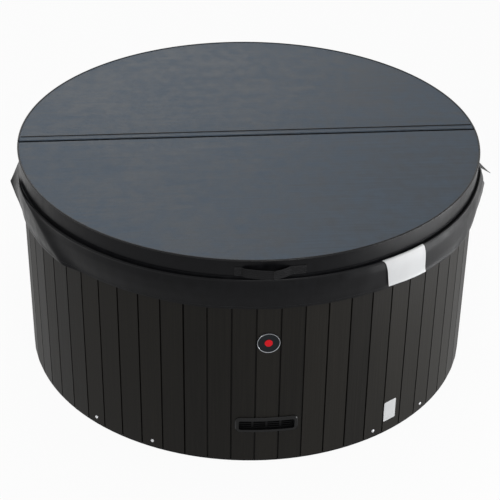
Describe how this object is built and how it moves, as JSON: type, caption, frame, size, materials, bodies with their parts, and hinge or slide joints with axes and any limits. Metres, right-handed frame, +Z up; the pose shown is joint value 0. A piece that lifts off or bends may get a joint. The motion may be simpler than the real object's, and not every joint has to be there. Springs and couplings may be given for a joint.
{
  "type": "hot tub",
  "caption": "Round free-standing hot tub with plank cladding, moulded seats and turning jets under an insulated cover that folds in half and lifts off.",
  "frame": {"origin": "centre of the base on the floor", "axes": "+Z up, front with the vent and badge towards -Y, the cover's fold along X"},
  "size_m": [2, 1.942, 0.9505],
  "materials": {
    "cover_vinyl": "satin",
    "cover_band": "satin",
    "cover_skirt": "satin",
    "webbing": "matte",
    "tag_paper": "matte",
    "foam": "matte",
    "blanket": "satin",
    "channel_steel": "satin",
    "frame_wood": "matte",
    "planks": "satin",
    "base_plastic": "matte",
    "screw_steel": "satin",
    "vent_plastic": "satin",
    "badge_chrome": "polished",
    "badge_black": "gloss",
    "badge_red": "gloss",
    "shell_acrylic": "gloss",
    "jet_plastic": "satin",
    "jet_steel": "satin",
    "light_lens": "gloss",
    "pipe_plastic": "satin",
    "panel_plastic": "satin",
    "button_rubber": "matte",
    "motor_paint": "satin",
    "heater_steel": "satin",
    "filter_fabric": "matte"
  },
  "bodies": {
    "tub": {"base_pan": "base_plastic", "footwell_block": "foam", "frame": "frame_wood", "insulation_blanket": "blanket", "cladding_access_panel": "planks", "cladding_right_panel": "planks", "cladding_back_panel": "planks", "cladding_left_panel": "planks", "cladding_screws": "screw_steel", "vent_bezel": "vent_plastic", "vent_grille": "vent_plastic", "badge_ring": "badge_chrome", "badge_face": "badge_black", "badge_dot": "badge_red", "inner_shell": "shell_acrylic", "jet_bodies": "jet_plastic", "small_jets": "jet_plastic", "suction_grilles": "jet_plastic", "footwell_light": "light_lens", "floor_drain": "pipe_plastic", "filter_well": "jet_plastic", "manifolds": "pipe_plastic", "valve_bodies": "jet_plastic", "topside_panel": "panel_plastic", "pump_motor": "motor_paint", "pump_wet_end": "base_plastic", "heater": "heater_steel", "control_box": "panel_plastic", "pump_pipes": "pipe_plastic", "drain_valve": "vent_plastic", "cable_gland": "vent_plastic"},
    "cover_rear": {"cover_rear_foam": "foam", "cover_rear_channel": "channel_steel", "cover_rear_jacket": "cover_band", "cover_rear_top": "cover_vinyl", "cover_rear_welt": "cover_vinyl", "cover_rear_skirt": "cover_skirt", "cover_rear_handle": "webbing", "fold_strip": "cover_vinyl"},
    "cover_front": {"cover_front_foam": "foam", "cover_front_channel": "channel_steel", "cover_front_jacket": "cover_band", "cover_front_top": "cover_vinyl", "cover_front_welt": "cover_vinyl", "cover_front_skirt": "cover_skirt", "cover_front_handle": "webbing", "care_tag": "tag_paper"},
    "filter_cartridge": {"filter_cartridge": "filter_fabric"},
    "drain_cap": {"drain_cap": "vent_plastic"},
    "jet_face_1": {"jet_face_1": "jet_steel"},
    "jet_face_2": {"jet_face_2": "jet_steel"},
    "jet_face_3": {"jet_face_3": "jet_steel"},
    "jet_face_4": {"jet_face_4": "jet_steel"},
    "jet_face_5": {"jet_face_5": "jet_steel"},
    "air_knob_left": {"air_knob_left": "jet_steel"},
    "air_knob_right": {"air_knob_right": "jet_steel"},
    "diverter_knob": {"diverter_knob": "jet_steel"},
    "button_1": {"button_1": "button_rubber"},
    "button_2": {"button_2": "button_rubber"},
    "button_3": {"button_3": "button_rubber"}
  },
  "joints": [
    {"name": "cover_lift", "type": "slide", "parent": "tub", "child": "cover_rear", "axis": [0, 0, 1], "range_m": [0, 0.4]},
    {"name": "cover_fold", "type": "hinge", "parent": "cover_rear", "child": "cover_front", "pos_m": [0, 0, 0.9514], "axis": [-1, 0, 0], "range_deg": [0, 180]},
    {"name": "filter_lift", "type": "slide", "parent": "tub", "child": "filter_cartridge", "axis": [0, 0, 1], "range_m": [0, 0.32]},
    {"name": "jet_1_turn", "type": "hinge", "parent": "tub", "child": "jet_face_1", "pos_m": [0, -0.798, 0.64], "axis": [0, -1, 0], "range_deg": [0, 120]},
    {"name": "jet_2_turn", "type": "hinge", "parent": "tub", "child": "jet_face_2", "pos_m": [0.75894, -0.2466, 0.64], "axis": [0.9511, -0.309, 0], "range_deg": [0, 120]},
    {"name": "jet_3_turn", "type": "hinge", "parent": "tub", "child": "jet_face_3", "pos_m": [0.46905, 0.6456, 0.64], "axis": [0.5878, 0.809, 0], "range_deg": [0, 120]},
    {"name": "jet_4_turn", "type": "hinge", "parent": "tub", "child": "jet_face_4", "pos_m": [-0.46905, 0.6456, 0.64], "axis": [-0.5878, 0.809, 0], "range_deg": [0, 120]},
    {"name": "jet_5_turn", "type": "hinge", "parent": "tub", "child": "jet_face_5", "pos_m": [-0.75894, -0.2466, 0.64], "axis": [-0.9511, -0.309, 0], "range_deg": [0, 120]},
    {"name": "air_knob_left_turn", "type": "hinge", "parent": "tub", "child": "air_knob_left", "pos_m": [-0.48551, -0.66825, 0.85], "axis": [0, 0, 1], "range_deg": [0, 90]},
    {"name": "air_knob_right_turn", "type": "hinge", "parent": "tub", "child": "air_knob_right", "pos_m": [-0.78557, 0.25525, 0.85], "axis": [0, 0, 1], "range_deg": [0, 90]},
    {"name": "diverter_knob_turn", "type": "hinge", "parent": "tub", "child": "diverter_knob", "pos_m": [0.78557, 0.25525, 0.85], "axis": [0, 0, 1], "range_deg": [0, 180]},
    {"name": "button_1_press", "type": "slide", "parent": "tub", "child": "button_1", "axis": [0, 0, -1], "range_m": [0, 0.0012], "stiffness_N_per_m": 600, "springref_m": -0.0006},
    {"name": "button_2_press", "type": "slide", "parent": "tub", "child": "button_2", "axis": [0, 0, -1], "range_m": [0, 0.0012], "stiffness_N_per_m": 600, "springref_m": -0.0006},
    {"name": "button_3_press", "type": "slide", "parent": "tub", "child": "button_3", "axis": [0, 0, -1], "range_m": [0, 0.0012], "stiffness_N_per_m": 600, "springref_m": -0.0006},
    {"name": "drain_cap_turn", "type": "hinge", "parent": "tub", "child": "drain_cap", "pos_m": [0, 0.93, 0.11], "axis": [0, 1, 0], "range_deg": [0, 90]}
  ]
}
